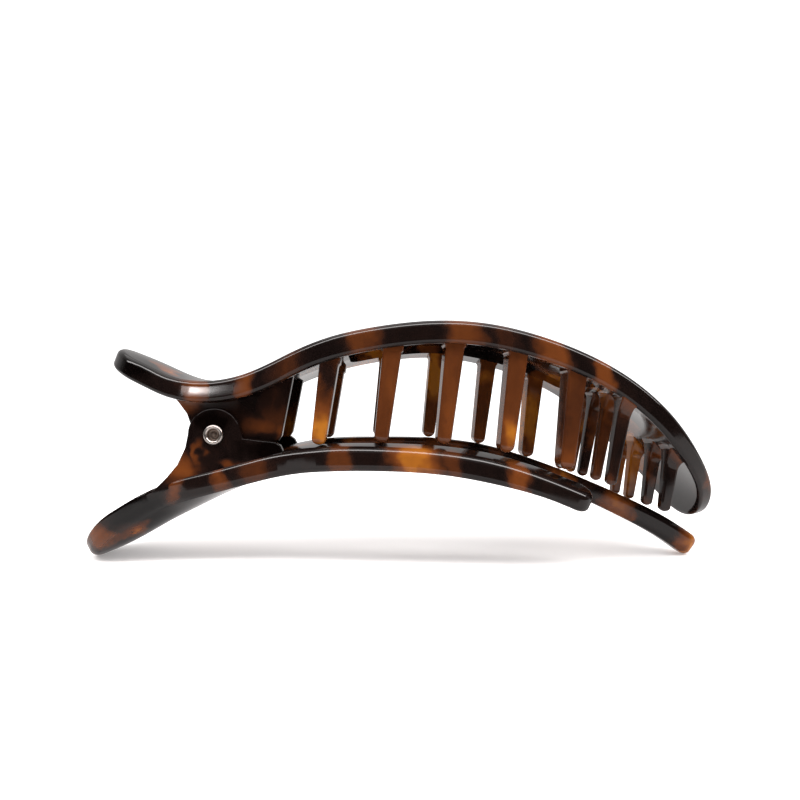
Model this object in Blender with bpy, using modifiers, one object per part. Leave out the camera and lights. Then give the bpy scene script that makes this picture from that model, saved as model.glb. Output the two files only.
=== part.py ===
"""Flat hair clip: two curved moulded jaws on a tubular rivet, held shut by a torsion spring.

+X runs towards the closed tip and the two finger levers are at -X. +Z is up. The origin lies on
the surface that the clip stands on, below the middle of its box. Both jaws are drawn as flat
blanks, in length along the plate and distance from the middle, and are then bent to their side
profiles.
"""
from math import acos, cos, hypot, pi, radians, sin, tan

import bmesh
import bpy
import numpy as np
from mathutils import Vector

# All lengths below are in millimetres, and MM turns them into Blender's metres.
MM = 0.001

# Tolerances and fineness of the meshing, angles in degrees
WELD_DISTANCE = 0.0001
MIDDLE_TOLERANCE = 0.001
CUT_TOLERANCE = 0.02
PROFILE_STEP = 0.25
FLAT_ANGLE = 0.5
SHARP_ANGLE = 35

# Hinge
PIVOT_X = -34.4
PIVOT_Z = 25.3
RUNNING_GAP = 0.3
RIVET_RADIUS = 1.3
RIVET_HOLE_RADIUS = 0.9
RIVET_LIP_RADIUS = 1.9
RIVET_LIP_THICKNESS = 0.5
RIVET_LIP_CHAMFER = 0.2
BORE_RADIUS = RIVET_RADIUS + RUNNING_GAP
BORE_SIDES = 24

# Hinge plates under the upper jaw run inside the ears of the lower jaw
PLATE_INNER_Y = 7.0
PLATE_OUTER_Y = 9.1
EAR_INNER_Y = PLATE_OUTER_Y + RUNNING_GAP
EAR_OUTER_Y = 11.4
PLATE_ROUND_RADIUS = 5.2
EAR_ROUND_RADIUS = 5.0

# Torsion spring round the rivet
SPRING_COIL_RADIUS = 2.15
SPRING_WIRE_RADIUS = 0.45
SPRING_TURNS = 9
SPRING_PITCH = 1.2
SPRING_POINTS_A_TURN = 12
SPRING_LEG = 3.2

# Blanks
HALF_WIDTH = 16.0
WAIST_HALF_WIDTH = 12.0
LEVER_HALF_WIDTH = 10.5
WAIST_FROM_X = -48.0
WAIST_TO_X = -40.0
WIDEN_FROM_X = -25.0
WIDEN_TO_X = -10.0
BLANK_DEPTH = 4.2
EDGE_RADIUS = 1.1
EDGE_SEGMENTS = 2
NOSE_FLAT = 2.4
NOSE_STEPS = 7
TIP_STEPS = 14
BEND_STEP = 3.6
CROWN_LINES = (3.4, 8.2, 12.4)

# Upper jaw
UPPER_LEVER_NOSE = 9.0
UPPER_TIP_NOSE = 27.0
RECESS_DEPTH = 1.6
RECESS_HALF_WIDTH = 10.0
RECESS_CORNER = 3.0

# Lower jaw
LOWER_LEVER_NOSE = 11.0
CENTRE_PRONG_TIP_ANGLE = 24
SIDE_PRONG_INNER_Y = 10.0
SIDE_PRONG_END_X = 36.2
CENTRE_PRONG_HALF_WIDTH = 2.5
PRONG_SLOT_X = -15.0

# Side view of the upper jaw's top edge. Crown is how far the middle stands above the edges.
UPPER_PROFILE = (
    # x, z, crown, depth
    (-56.4, 41.9, 1.0, 3.8),
    (-49.0, 38.9, 1.0, 3.9),
    (-42.0, 36.0, 0.9, 4.0),
    (-35.4, 35.4, 0.5, 4.1),
    (-28.6, 36.8, 0.3, 4.2),
    (-20.4, 40.4, 0.6, 4.2),
    (-12.0, 43.3, 1.0, 4.2),
    (-2.0, 45.3, 1.2, 4.2),
    (7.2, 46.1, 1.3, 4.2),
    (16.8, 45.5, 1.3, 4.2),
    (26.3, 43.2, 1.3, 4.1),
    (35.0, 39.8, 1.3, 4.0),
    (43.3, 34.9, 1.3, 3.8),
    (50.6, 28.1, 1.3, 3.5),
    (56.1, 20.7, 1.3, 3.1),
    (59.7, 14.6, 1.2, 2.8),
    (61.7, 8.4, 1.0, 2.6),
)

# Side view of the lower jaw's top edge. A crown below nought is a spoon, hollow on top.
LOWER_PROFILE = (
    # x, z, crown, depth
    (-64.4, 5.6, -3.3, 3.5),
    (-56.8, 9.7, -4.0, 3.6),
    (-49.9, 13.9, -4.2, 3.7),
    (-42.0, 17.1, -3.1, 4.2),
    (-34.0, 19.0, -1.3, 4.3),
    (-26.0, 21.0, 0.2, 4.5),
    (-15.5, 22.9, 0.8, 4.6),
    (-3.0, 23.1, 1.2, 4.5),
    (9.4, 22.1, 1.9, 4.4),
    (19.8, 20.0, 2.4, 4.3),
    (28.8, 16.9, 2.7, 3.8),
    (38.0, 13.0, 3.0, 3.9),
    (47.5, 8.8, 3.0, 4.2),
    (55.5, 4.7, 3.0, 4.4),
    (61.5, 0.67, 3.0, 4.5),
)

# Teeth as their middle lines in the side view, root under the jaw and tip
SIDE_TEETH_Y = 13.3
SIDE_TEETH = (
    # root x, root z, tip x, tip z
    (-12.5, 38.8, -14.6, 23.5),
    (-0.9, 41.0, -3.0, 23.85),
    (10.6, 41.8, 8.5, 23.6),
    (22.2, 40.4, 20.0, 22.1),
    (33.0, 37.0, 31.1, 19.0),
)
CROSS_ROWS = (
    # root x, root z, tip x, tip z, distances from the middle
    (41.9, 31.0, 39.3, 16.1, (0.0, 6.7, 13.4)),
    (52.4, 22.4, 50.8, 10.7, (3.8, 10.4)),
)
SIDE_TOOTH_SIZE = ((3.5, 4.8), (2.6, 4.2))
CROSS_TOOTH_SIZE = ((2.5, 2.4), (1.8, 1.8))
TOOTH_CORNER = 0.2
TOOTH_SINK = 1.6
CROSS_RIB_HALF = 1.8


def spline_through(rows, step):
    """Read a natural cubic spline through the rows about every step of length."""
    values = np.array(rows, dtype=float)
    spans = np.hypot(np.diff(values[:, 0]), np.diff(values[:, 1]))
    knots = np.concatenate(([0.0], np.cumsum(spans)))
    count = len(knots)
    matrix = np.eye(count)
    target = np.zeros_like(values)
    for i in range(1, count - 1):
        before = spans[i - 1]
        after = spans[i]
        matrix[i, i - 1:i + 2] = (before, 2 * (before + after), after)
        target[i] = 6 * ((values[i + 1] - values[i]) / after - (values[i] - values[i - 1]) / before)
    bend = np.linalg.solve(matrix, target)
    points = []
    for place in np.linspace(0.0, knots[-1], int(knots[-1] / step) + 1):
        i = min(int(np.searchsorted(knots, place, side="right")) - 1, count - 2)
        left = place - knots[i]
        right = knots[i + 1] - place
        line = (values[i] * right + values[i + 1] * left) / spans[i]
        sag = (bend[i] * (right ** 3 / spans[i] - right * spans[i])
               + bend[i + 1] * (left ** 3 / spans[i] - left * spans[i])) / 6
        points.append(line + sag)
    return np.array(points)


class Profile:
    """A plate's side view, read by the length along it."""

    def __init__(self, rows, step=PROFILE_STEP):
        points = spline_through(rows, step)
        self.x, self.z, self.crown, self.depth = points.T
        lengths = np.hypot(np.diff(self.x), np.diff(self.z))
        self.reach = np.concatenate(([0.0], np.cumsum(lengths)))
        self.length = float(self.reach[-1])
        self.slope_x = np.gradient(self.x, self.reach)
        self.slope_z = np.gradient(self.z, self.reach)

    def along(self, x):
        """Length along the plate at which the profile passes x."""
        return float(np.interp(x, self.x, self.reach))

    def x_at(self, s):
        """The profile's x at the length s."""
        return float(np.interp(s, self.reach, self.x))

    def bend(self, point):
        """Carry a point of the flat blank (length, distance from the middle, height) to its place."""
        s, y, height = point
        height *= float(np.interp(s, self.reach, self.depth)) / BLANK_DEPTH
        half = crown_half_width(self.x_at(s))
        height += float(np.interp(s, self.reach, self.crown)) * (1 - (y / half) ** 2)
        tangent_x = float(np.interp(s, self.reach, self.slope_x))
        tangent_z = float(np.interp(s, self.reach, self.slope_z))
        scale = 1 / hypot(tangent_x, tangent_z)
        x = self.x_at(s) - tangent_z * scale * height
        z = float(np.interp(s, self.reach, self.z)) + tangent_x * scale * height
        return Vector((x, y, z))


def smooth_step(value, start, end):
    """Rise from 0 at start to 1 at end, level at both."""
    t = min(max((value - start) / (end - start), 0.0), 1.0)
    return t * t * (3 - 2 * t)


def crown_half_width(x):
    """Half the width over which a plate's crown is spread."""
    waist = smooth_step(x, WAIST_FROM_X, WAIST_TO_X)
    wide = smooth_step(x, WIDEN_FROM_X, WIDEN_TO_X)
    lever = LEVER_HALF_WIDTH + (WAIST_HALF_WIDTH - LEVER_HALF_WIDTH) * waist
    return lever + (HALF_WIDTH - WAIST_HALF_WIDTH) * wide


def side_line(profile, nose, end, step):
    """Edge of a blank on its +Y side, from the flat end of its lever's nose to the length end."""
    points = []
    last = acos(NOSE_FLAT / LEVER_HALF_WIDTH)
    for i in range(NOSE_STEPS, -1, -1):
        angle = last * i / NOSE_STEPS
        s = nose * (1 - sin(angle) / sin(last))
        points.append((s, crown_half_width(profile.x_at(s)) * cos(angle)))
    count = max(2, round((end - nose) / step))
    for i in range(1, count + 1):
        s = nose + (end - nose) * i / count
        points.append((s, crown_half_width(profile.x_at(s))))
    return points


def arc(centre_s, centre_y, radius, start, end, count):
    """Points of an arc in the blank's plane, angles in degrees."""
    points = []
    for i in range(count + 1):
        angle = radians(start + (end - start) * i / count)
        points.append((centre_s + radius * cos(angle), centre_y + radius * sin(angle)))
    return points


def mirrored(side):
    """Close an outline with its other half, without a second copy of a point on the middle line."""
    return side + [(s, -y) for s, y in reversed(side) if y > MIDDLE_TOLERANCE]


def upper_outline(profile):
    """Blank of the upper jaw: lever, waist and wide body with an elliptical tip."""
    tip_from = profile.length - UPPER_TIP_NOSE
    side = side_line(profile, UPPER_LEVER_NOSE, tip_from, BEND_STEP)
    for i in range(1, TIP_STEPS + 1):
        angle = pi / 2 * i / TIP_STEPS
        side.append((tip_from + UPPER_TIP_NOSE * sin(angle), HALF_WIDTH * cos(angle)))
    return mirrored(side)


def lower_outline(profile):
    """Blank of the lower jaw: lever, waist, two side prongs and a longer middle prong."""
    prong_middle = (HALF_WIDTH + SIDE_PRONG_INNER_Y) / 2
    prong_radius = (HALF_WIDTH - SIDE_PRONG_INNER_Y) / 2
    slot_middle = (SIDE_PRONG_INNER_Y + CENTRE_PRONG_HALF_WIDTH) / 2
    slot_radius = (SIDE_PRONG_INNER_Y - CENTRE_PRONG_HALF_WIDTH) / 2
    prong_end = profile.along(SIDE_PRONG_END_X) - prong_radius
    slot_end = profile.along(PRONG_SLOT_X) + slot_radius
    centre_end = profile.length - CENTRE_PRONG_HALF_WIDTH
    side = side_line(profile, LOWER_LEVER_NOSE, prong_end, BEND_STEP)
    side += arc(prong_end, prong_middle, prong_radius, 90, -90, 8)[1:]
    side += arc(slot_end, slot_middle, slot_radius, 90, 270, 8)
    side += arc(centre_end, 0.0, CENTRE_PRONG_HALF_WIDTH, 90, CENTRE_PRONG_TIP_ANGLE, 4)
    return mirrored(side)


def flat_solid(name, outline, bottom, top):
    """Fill an outline and extrude it: a closed plate from the height bottom to the height top."""
    curve = bpy.data.curves.new(name, "CURVE")
    curve.dimensions = "2D"
    curve.fill_mode = "BOTH"
    curve.extrude = (top - bottom) / 2
    spline = curve.splines.new("POLY")
    spline.points.add(len(outline) - 1)
    for point, (s, y) in zip(spline.points, outline):
        point.co = (s, y, 0.0, 1.0)
    spline.use_cyclic_u = True
    holder = bpy.data.objects.new(name, curve)
    bpy.context.scene.collection.objects.link(holder)
    mesh = bpy.data.meshes.new_from_object(holder.evaluated_get(bpy.context.evaluated_depsgraph_get()))
    bpy.data.objects.remove(holder)
    bpy.data.curves.remove(curve)
    solid = bmesh.new()
    solid.from_mesh(mesh)
    bpy.data.meshes.remove(mesh)
    bmesh.ops.remove_doubles(solid, verts=solid.verts, dist=WELD_DISTANCE)
    bmesh.ops.translate(solid, verts=solid.verts, vec=(0, 0, (top + bottom) / 2))
    bmesh.ops.dissolve_limit(solid, angle_limit=radians(FLAT_ANGLE), verts=solid.verts, edges=solid.edges)
    bmesh.ops.recalc_face_normals(solid, faces=solid.faces)
    return solid


def round_rims(solid, radius, segments):
    """Round the edges where a plate's two faces meet its side wall."""
    rims = [edge for edge in solid.edges
            if len(edge.link_faces) == 2
            and sum(abs(face.normal.z) > 0.9 for face in edge.link_faces) == 1]
    bmesh.ops.bevel(solid, geom=rims, offset=radius, segments=segments, profile=0.5, affect="EDGES")


def cut_lines(solid, places, axis):
    """Cut a blank's faces along straight lines, so that it can bend there."""
    for place in places:
        geometry = solid.verts[:] + solid.edges[:] + solid.faces[:]
        bmesh.ops.bisect_plane(solid, geom=geometry, dist=CUT_TOLERANCE, plane_co=axis * place, plane_no=axis)


def bend_solid(solid, profile):
    """Cut a flat solid into strips and bend it to the profile."""
    count = round(profile.length / BEND_STEP)
    stations = [profile.length * i / count for i in range(1, count)]
    cut_lines(solid, stations, Vector((1, 0, 0)))
    for line in CROWN_LINES:
        cut_lines(solid, (-line, line), Vector((0, 1, 0)))
    for vertex in solid.verts:
        vertex.co = profile.bend(vertex.co)


def tooth(solid, root, tip, y, root_size, tip_size):
    """Add a tapered tooth with a rounded end, its root sunk into the jaw."""
    axis = Vector((tip[0] - root[0], 0, tip[1] - root[1]))
    length = axis.length
    axis.normalize()
    across = Vector((-axis.z, 0, axis.x))
    round_end = tip_size[0] / 2
    levels = [(-TOOTH_SINK, 1.0), (length - round_end, 1.0)]
    levels += [(length - round_end * (1 - sin(radians(a))), cos(radians(a))) for a in (35, 65)]
    rings = []
    for level, share in levels:
        t = max(level, 0) / length
        half_x = share * (root_size[0] * (1 - t) + tip_size[0] * t) / 2
        half_y = share * (root_size[1] * (1 - t) + tip_size[1] * t) / 2
        corner = TOOTH_CORNER * 2 * min(half_x, half_y)
        middle = Vector((root[0], y, root[1])) + axis * level
        ring = []
        for side_x, side_y in ((1, 1), (-1, 1), (-1, -1), (1, -1)):
            first = (side_x * half_x, side_y * (half_y - corner))
            second = (side_x * (half_x - corner), side_y * half_y)
            pair = (first, second) if side_x == side_y else (second, first)
            ring += [solid.verts.new(middle + across * a + Vector((0, b, 0))) for a, b in pair]
        rings.append(ring)
    for upper, lower in zip(rings, rings[1:]):
        for i in range(len(upper)):
            j = (i + 1) % len(upper)
            solid.faces.new((upper[i], upper[j], lower[j], lower[i]))
    solid.faces.new(rings[0])
    solid.faces.new(rings[-1])


def upper_teeth():
    """All the teeth of the upper jaw, as loose pegs to be joined to it."""
    solid = bmesh.new()
    for root_x, root_z, tip_x, tip_z in SIDE_TEETH:
        for y in (-SIDE_TEETH_Y, SIDE_TEETH_Y):
            tooth(solid, (root_x, root_z), (tip_x, tip_z), y, *SIDE_TOOTH_SIZE)
    for root_x, root_z, tip_x, tip_z, places in CROSS_ROWS:
        for y in sorted({side * place for place in places for side in (-1, 1)}):
            tooth(solid, (root_x, root_z), (tip_x, tip_z), y, *CROSS_TOOTH_SIZE)
    bmesh.ops.recalc_face_normals(solid, faces=solid.faces)
    return solid


def round_corners(corners, radius, count=3):
    """A closed outline through the corners, each rounded to the radius."""
    points = []
    for i, corner in enumerate(corners):
        here = Vector(corner)
        before = (Vector(corners[i - 1]) - here).normalized()
        after = (Vector(corners[(i + 1) % len(corners)]) - here).normalized()
        half_angle = before.angle(after) / 2
        reach = radius / tan(half_angle)
        centre = here + (before + after).normalized() * (radius / sin(half_angle))
        start = here + before * reach - centre
        end = here + after * reach - centre
        for j in range(count + 1):
            turned = start.slerp(end, j / count)
            points.append(tuple(centre + turned))
    return points


def recess_cutters(profile):
    """Flat boxes that leave rails along the sides and ribs under the rows of teeth."""
    edges = [profile.along(WIDEN_TO_X)]
    for root_x, *_ in CROSS_ROWS:
        middle = profile.along(root_x)
        edges += [middle - CROSS_RIB_HALF, middle + CROSS_RIB_HALF]
    edges.pop()
    solids = []
    for start, end in zip(edges[::2], edges[1::2]):
        corners = ((start, -RECESS_HALF_WIDTH), (end, -RECESS_HALF_WIDTH),
                   (end, RECESS_HALF_WIDTH), (start, RECESS_HALF_WIDTH))
        outline = round_corners(corners, RECESS_CORNER)
        solids.append(flat_solid("recess", outline, -BLANK_DEPTH - 1, -BLANK_DEPTH + RECESS_DEPTH))
    return solids


def stand_up(solid, inner_y, outer_y):
    """Turn a solid drawn flat in x and z upright, and copy it to both sides of the middle."""
    for vertex in solid.verts:
        x, z, height = vertex.co
        vertex.co = (x, inner_y + height * (outer_y - inner_y), z)
    copies = bmesh.ops.duplicate(solid, geom=solid.verts[:] + solid.edges[:] + solid.faces[:])
    for item in copies["geom"]:
        if isinstance(item, bmesh.types.BMVert):
            item.co.y = -item.co.y
    bmesh.ops.recalc_face_normals(solid, faces=solid.faces)
    return solid


def hinge_plates():
    """The pair of plates under the upper jaw, rounded about the pivot."""
    outline = arc(PIVOT_X, PIVOT_Z, PLATE_ROUND_RADIUS, 165, 290, 8)
    outline += [(-24.6, 23.7), (-22.6, 24.0), (-22.0, 25.0)]
    outline += [(-19.6, 37.4), (-30.6, 34.6), (-36.4, 33.4), (-44.6, 36.0)]
    outline += [(-43.4, 33.2), (-41.7, 31.1), (-40.3, 29.2)]
    return stand_up(flat_solid("hinge_plate", outline, 0.0, 1.0), PLATE_INNER_Y, PLATE_OUTER_Y)


def ears():
    """The pair of ears on the lower jaw, with a low fin towards the prongs."""
    outline = [(-46.4, 14.2), (-43.4, 17.2), (-41.4, 19.6), (-39.9, 22.8)]
    outline += arc(PIVOT_X, PIVOT_Z, EAR_ROUND_RADIUS, 180, 20, 9)
    outline += [(-28.4, 24.7), (-26.0, 24.0), (-22.6, 23.4), (-19.8, 21.4), (-24.0, 19.4), (-34.0, 16.4)]
    return stand_up(flat_solid("ear", outline, 0.0, 1.0), EAR_INNER_Y, EAR_OUTER_Y)


def mesh_object(name, solid, collection, material=None):
    """Make an object of a solid drawn in millimetres, flat-cut edges kept sharp."""
    bmesh.ops.scale(solid, verts=solid.verts, vec=(MM, MM, MM))
    mesh = bpy.data.meshes.new(name)
    solid.to_mesh(mesh)
    solid.free()
    mesh.shade_smooth()
    mesh.set_sharp_from_angle(angle=radians(SHARP_ANGLE))
    if material:
        mesh.materials.append(material)
    item = bpy.data.objects.new(name, mesh)
    collection.objects.link(item)
    return item


def add_cutter(target, cutter, operation):
    """Join or cut the target with another solid, which stays as a hidden guide."""
    cutter.hide_render = True
    cutter.display_type = "WIRE"
    boolean = target.modifiers.new(operation.lower() + "_" + cutter.name, "BOOLEAN")
    boolean.operation = operation
    boolean.solver = "EXACT"
    boolean.object = cutter


def flatten_modifiers(item):
    """Replace an object's mesh by its evaluated one and drop its modifiers."""
    mesh = bpy.data.meshes.new_from_object(item.evaluated_get(bpy.context.evaluated_depsgraph_get()))
    item.modifiers.clear()
    item.data = mesh


def make_material(name, colour, roughness, metallic):
    """A plain Principled finish."""
    material = bpy.data.materials.new(name)
    material.use_nodes = True
    shader = material.node_tree.nodes["Principled BSDF"]
    shader.inputs["Base Color"].default_value = (*colour, 1.0)
    shader.inputs["Roughness"].default_value = roughness
    shader.inputs["Metallic"].default_value = metallic
    return material


def move_to_pivot(item):
    """Put an object's origin on the hinge axis without moving its shape."""
    pivot = Vector((PIVOT_X * MM, 0.0, PIVOT_Z * MM))
    for vertex in item.data.vertices:
        vertex.co -= pivot
    item.location = pivot


def bore_cutter(name, collection):
    """A pin along the hinge axis that cuts the rivet's bores."""
    solid = bmesh.new()
    bmesh.ops.create_cone(solid, cap_ends=True, segments=BORE_SIDES, radius1=BORE_RADIUS,
                          radius2=BORE_RADIUS, depth=4 * EAR_OUTER_Y)
    for vertex in solid.verts:
        x, y, z = vertex.co
        vertex.co = (PIVOT_X + x, z, PIVOT_Z - y)
    return mesh_object(name, solid, collection)


def make_upper_jaw(parts, cutters, material):
    """Upper jaw: lever, arched plate with rails and ribs, teeth and hinge plates in one piece."""
    profile = Profile(UPPER_PROFILE)
    solid = flat_solid("upper_blank", upper_outline(profile), -BLANK_DEPTH, 0.0)
    round_rims(solid, EDGE_RADIUS, EDGE_SEGMENTS)
    flat = mesh_object("upper_flat", solid, cutters)
    for i, recess in enumerate(recess_cutters(profile)):
        add_cutter(flat, mesh_object(f"recess_cut_{i + 1}", recess, cutters), "DIFFERENCE")
    flatten_modifiers(flat)
    solid = bmesh.new()
    solid.from_mesh(flat.data)
    bmesh.ops.scale(solid, verts=solid.verts, vec=(1 / MM, 1 / MM, 1 / MM))
    bpy.data.objects.remove(flat)
    bend_solid(solid, profile)
    jaw = mesh_object("upper_jaw", solid, parts, material)
    add_cutter(jaw, mesh_object("teeth_join", upper_teeth(), cutters), "UNION")
    add_cutter(jaw, mesh_object("hinge_plates_join", hinge_plates(), cutters), "UNION")
    add_cutter(jaw, bore_cutter("plate_bore_cut", cutters), "DIFFERENCE")
    move_to_pivot(jaw)
    return jaw


def make_lower_jaw(parts, cutters, material):
    """Lower jaw: spoon-shaped lever, three prongs and the two ears in one piece."""
    profile = Profile(LOWER_PROFILE)
    solid = flat_solid("lower_blank", lower_outline(profile), -BLANK_DEPTH, 0.0)
    round_rims(solid, EDGE_RADIUS, EDGE_SEGMENTS)
    bend_solid(solid, profile)
    jaw = mesh_object("lower_jaw", solid, parts, material)
    add_cutter(jaw, mesh_object("ears_join", ears(), cutters), "UNION")
    add_cutter(jaw, bore_cutter("ear_bore_cut", cutters), "DIFFERENCE")
    return jaw


def make_rivet(parts, material):
    """Tubular rivet: half of its turned wall, mirrored, with a rolled lip outside each ear."""
    lip_from = EAR_OUTER_Y + RUNNING_GAP
    lip_to = lip_from + RIVET_LIP_THICKNESS
    half = [(RIVET_HOLE_RADIUS, lip_to), (RIVET_LIP_RADIUS - RIVET_LIP_CHAMFER, lip_to),
            (RIVET_LIP_RADIUS, lip_to - RIVET_LIP_CHAMFER), (RIVET_LIP_RADIUS, lip_from),
            (RIVET_RADIUS, lip_from)]
    wall = half + [(radius, -height) for radius, height in reversed(half)]
    mesh = bpy.data.meshes.new("hinge_rivet")
    edges = [(i, (i + 1) % len(wall)) for i in range(len(wall))]
    mesh.from_pydata([(r * MM, 0.0, h * MM) for r, h in wall], edges, [])
    mesh.materials.append(material)
    rivet = bpy.data.objects.new("hinge_rivet", mesh)
    parts.objects.link(rivet)
    turned = rivet.modifiers.new("turned", "SCREW")
    turned.steps = BORE_SIDES
    turned.render_steps = BORE_SIDES
    turned.use_merge_vertices = True
    turned.merge_threshold = 0.00001
    turned.use_smooth_shade = True
    rivet.rotation_euler = (radians(90), 0.0, 0.0)
    rivet.location = (PIVOT_X * MM, 0.0, PIVOT_Z * MM)
    return rivet


def make_spring(parts, material):
    """Close-wound torsion spring round the rivet, with a short leg at each end."""
    points = []
    count = SPRING_TURNS * SPRING_POINTS_A_TURN
    for i in range(count + 1):
        angle = 2 * pi * i / SPRING_POINTS_A_TURN + pi / 2
        y = SPRING_PITCH * (i / SPRING_POINTS_A_TURN - SPRING_TURNS / 2)
        points.append(Vector((PIVOT_X + SPRING_COIL_RADIUS * cos(angle), y,
                              PIVOT_Z + SPRING_COIL_RADIUS * sin(angle))))
    points.insert(0, points[0] + Vector((SPRING_LEG, 0, 0)))
    points.append(points[-1] + Vector((-SPRING_LEG, 0, 0)))
    curve = bpy.data.curves.new("torsion_spring", "CURVE")
    curve.dimensions = "3D"
    curve.bevel_depth = SPRING_WIRE_RADIUS * MM
    curve.bevel_resolution = 1
    curve.use_fill_caps = True
    spline = curve.splines.new("POLY")
    spline.points.add(len(points) - 1)
    for point, place in zip(spline.points, points):
        point.co = (*(place * MM), 1.0)
    curve.materials.append(material)
    spring = bpy.data.objects.new("torsion_spring", curve)
    parts.objects.link(spring)
    return spring


def build_clip():
    """Clear the scene and build the clip's four pieces."""
    for item in list(bpy.data.objects):
        bpy.data.objects.remove(item)
    parts = bpy.data.collections.new("flat_hair_clip")
    cutters = bpy.data.collections.new("cutters")
    for collection in (parts, cutters):
        bpy.context.scene.collection.children.link(collection)
    upper = make_material("tortoiseshell_upper", (0.045, 0.018, 0.010), 0.12, 0.0)
    lower = make_material("tortoiseshell_lower", (0.060, 0.024, 0.011), 0.12, 0.0)
    nickel = make_material("rivet_nickel", (0.72, 0.70, 0.66), 0.22, 1.0)
    steel = make_material("spring_steel", (0.50, 0.50, 0.50), 0.30, 1.0)
    make_upper_jaw(parts, cutters, upper)
    make_lower_jaw(parts, cutters, lower)
    make_rivet(parts, nickel)
    make_spring(parts, steel)


build_clip()
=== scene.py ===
# %% [markdown]
# A flat hair clip in dark tortoiseshell plastic. The real one has four pieces: an arched upper jaw
# with its teeth, a lower jaw with three prongs, a tubular rivet and a torsion spring. The packed
# model holds the same four pieces with few faces. It stays the frame of the scene, and each piece is
# made again here with the roundings and the finish of the real one.

# %% Load the frame
from math import atan2, cos, hypot, pi, radians, sin

import bmesh
import bpy
import numpy as np
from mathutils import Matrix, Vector


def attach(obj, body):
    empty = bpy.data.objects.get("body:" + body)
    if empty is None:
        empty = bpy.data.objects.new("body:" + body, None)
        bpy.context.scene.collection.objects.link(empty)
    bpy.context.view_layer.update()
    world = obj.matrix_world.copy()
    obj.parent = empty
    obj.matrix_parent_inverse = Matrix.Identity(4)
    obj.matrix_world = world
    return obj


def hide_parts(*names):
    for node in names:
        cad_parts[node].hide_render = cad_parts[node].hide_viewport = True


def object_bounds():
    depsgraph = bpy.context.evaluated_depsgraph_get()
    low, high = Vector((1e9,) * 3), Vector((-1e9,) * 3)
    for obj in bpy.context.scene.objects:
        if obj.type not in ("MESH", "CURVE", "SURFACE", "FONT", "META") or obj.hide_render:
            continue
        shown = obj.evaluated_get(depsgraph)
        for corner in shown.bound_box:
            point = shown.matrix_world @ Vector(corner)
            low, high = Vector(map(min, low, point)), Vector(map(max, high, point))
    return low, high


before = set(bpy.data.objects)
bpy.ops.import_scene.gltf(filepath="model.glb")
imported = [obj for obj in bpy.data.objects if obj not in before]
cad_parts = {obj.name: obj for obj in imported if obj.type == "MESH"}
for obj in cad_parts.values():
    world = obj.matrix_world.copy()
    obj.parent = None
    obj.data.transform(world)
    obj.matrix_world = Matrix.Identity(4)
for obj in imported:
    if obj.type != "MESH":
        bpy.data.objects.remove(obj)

MM = 0.001
NOISE_MEAN = 0.5
cad_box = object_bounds()
print("frame:", sorted(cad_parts))
print("box in mm:", [[round(v / MM, 1) for v in corner] for corner in cad_box])

# %% [markdown]
# The photograph was taken from close by, so the near rim looks much larger than the far one. A short
# lens at the same small distance gives that perspective. The camera is level, a little left of the
# middle, and about as high as the hinge plates, so that we look up into the arch. A small shift puts
# the clip where it lies in the picture.

# %% Camera
CAMERA_PLACE = (-0.0055, -0.115, 0.0307)
CAMERA_LENS = 24.75
CAMERA_SHIFT = (0.041, 0.0075)

camera_data = bpy.data.cameras.new("camera")
camera_data.lens = CAMERA_LENS
camera_data.sensor_width = 36
camera_data.shift_x, camera_data.shift_y = CAMERA_SHIFT
camera_data.clip_start = MM
camera = bpy.data.objects.new("camera", camera_data)
camera.location = CAMERA_PLACE
camera.rotation_euler = (radians(90), 0, 0)
bpy.context.scene.collection.objects.link(camera)
bpy.context.scene.camera = camera
print("camera is", round(-CAMERA_PLACE[1] / MM), "mm in front of the middle of the clip")

# %% [markdown]
# Every tree of nodes below, for shapes and for finishes, is built by the same small helper. It adds
# one node, sets its options, and fills each input with a number or with another node's output.

# %% Helper for node trees
def fill(node, inputs):
    """Fill a node's inputs with numbers, or link them to outputs of other nodes."""
    for socket, value in dict(inputs).items():
        if isinstance(value, bpy.types.NodeSocket):
            node.id_data.links.new(value, node.inputs[socket])
        else:
            node.inputs[socket].default_value = value
    return node


def add(tree, kind, inputs=(), **options):
    """Add a node to a tree, set its options, and fill its inputs."""
    node = tree.nodes.new(kind)
    for name, value in options.items():
        setattr(node, name, value)
    return fill(node, inputs)


def calc(tree, operation, *values, clamp=False):
    """Add a Math node and return its result."""
    return add(tree, "ShaderNodeMath", enumerate(values), operation=operation, use_clamp=clamp).outputs[0]


def calc_vector(tree, operation, *values):
    """Add a Vector Math node and return its vector."""
    return add(tree, "ShaderNodeVectorMath", enumerate(values), operation=operation).outputs[0]


def split(tree, vector):
    """Split a vector and return its three outputs."""
    return add(tree, "ShaderNodeSeparateXYZ", {0: vector}).outputs


def remap(tree, value, start, end, low, high, blend="LINEAR"):
    """Add a Map Range node that gives low at start and high at end."""
    limits = {"Value": value, "From Min": start, "From Max": end, "To Min": low, "To Max": high}
    return add(tree, "ShaderNodeMapRange", limits, interpolation_type=blend).outputs[0]


def noise(tree, place, scale, detail, output="Fac"):
    """Add a Noise Texture, which wanders about NOISE_MEAN, and return its value or colour."""
    inputs = {"Vector": place, "Scale": scale, "Detail": detail}
    return add(tree, "ShaderNodeTexNoise", inputs).outputs[output]


def new_material(name):
    """A material, with its tree, its shader and the object's own coordinates."""
    material = bpy.data.materials.new(name)
    material.use_nodes = True
    tree = material.node_tree
    return material, tree, tree.nodes["Principled BSDF"], add(tree, "ShaderNodeTexCoord").outputs["Object"]


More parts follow.
